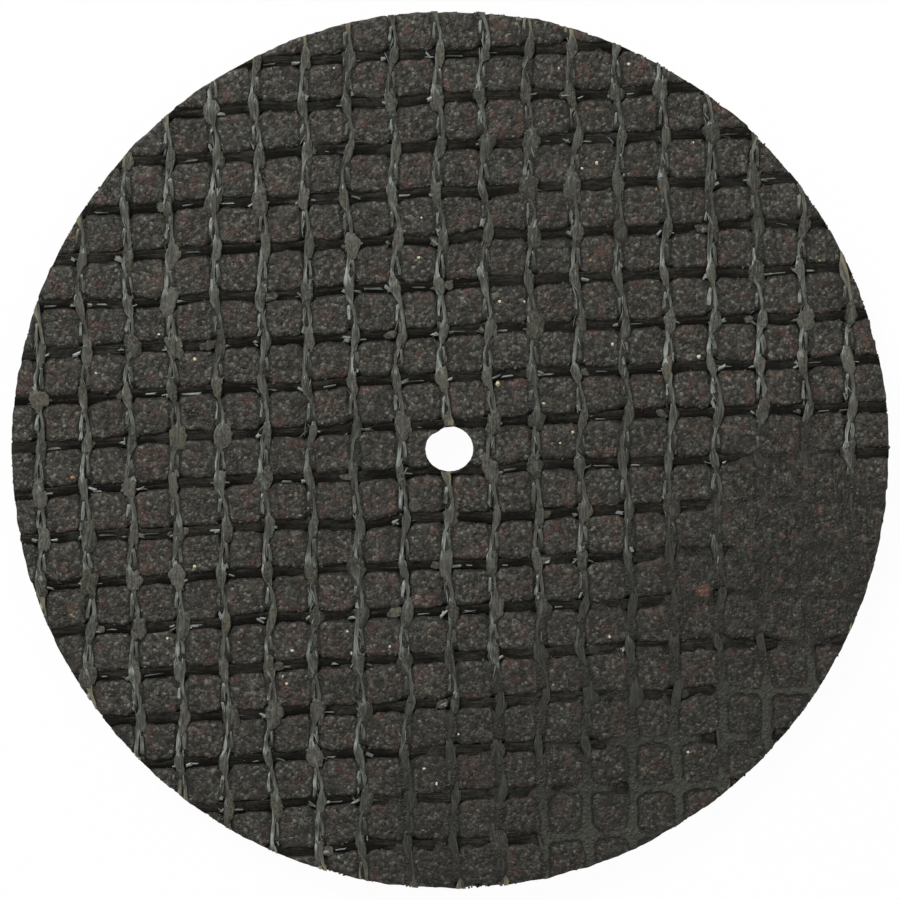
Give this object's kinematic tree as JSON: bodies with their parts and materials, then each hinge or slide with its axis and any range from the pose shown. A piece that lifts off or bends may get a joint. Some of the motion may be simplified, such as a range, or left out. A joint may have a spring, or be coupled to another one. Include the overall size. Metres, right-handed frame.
{
  "type": "cut-off wheel",
  "caption": "Thin resin-bonded abrasive cut-off wheel with a leno-woven glass net pressed into both faces and a small central arbor hole, for a hand-held rotary tool.",
  "frame": {"origin": "on the arbor hole's axis, in the plane of the back face's yarn crowns, on which the wheel lies", "axes": "+Z along the arbor hole out of the front face, +Y along the warps towards the top of the picture, +X along the wefts to its right"},
  "size_m": [0.032, 0.032, 0.0011],
  "materials": {
    "bonded_abrasive": "dark grey-brown abrasive grain in black resin, with grey glass yarns pressed into the face"
  },
  "bodies": {
    "root": {"wheel": "bonded_abrasive"}
  },
  "joints": []
}
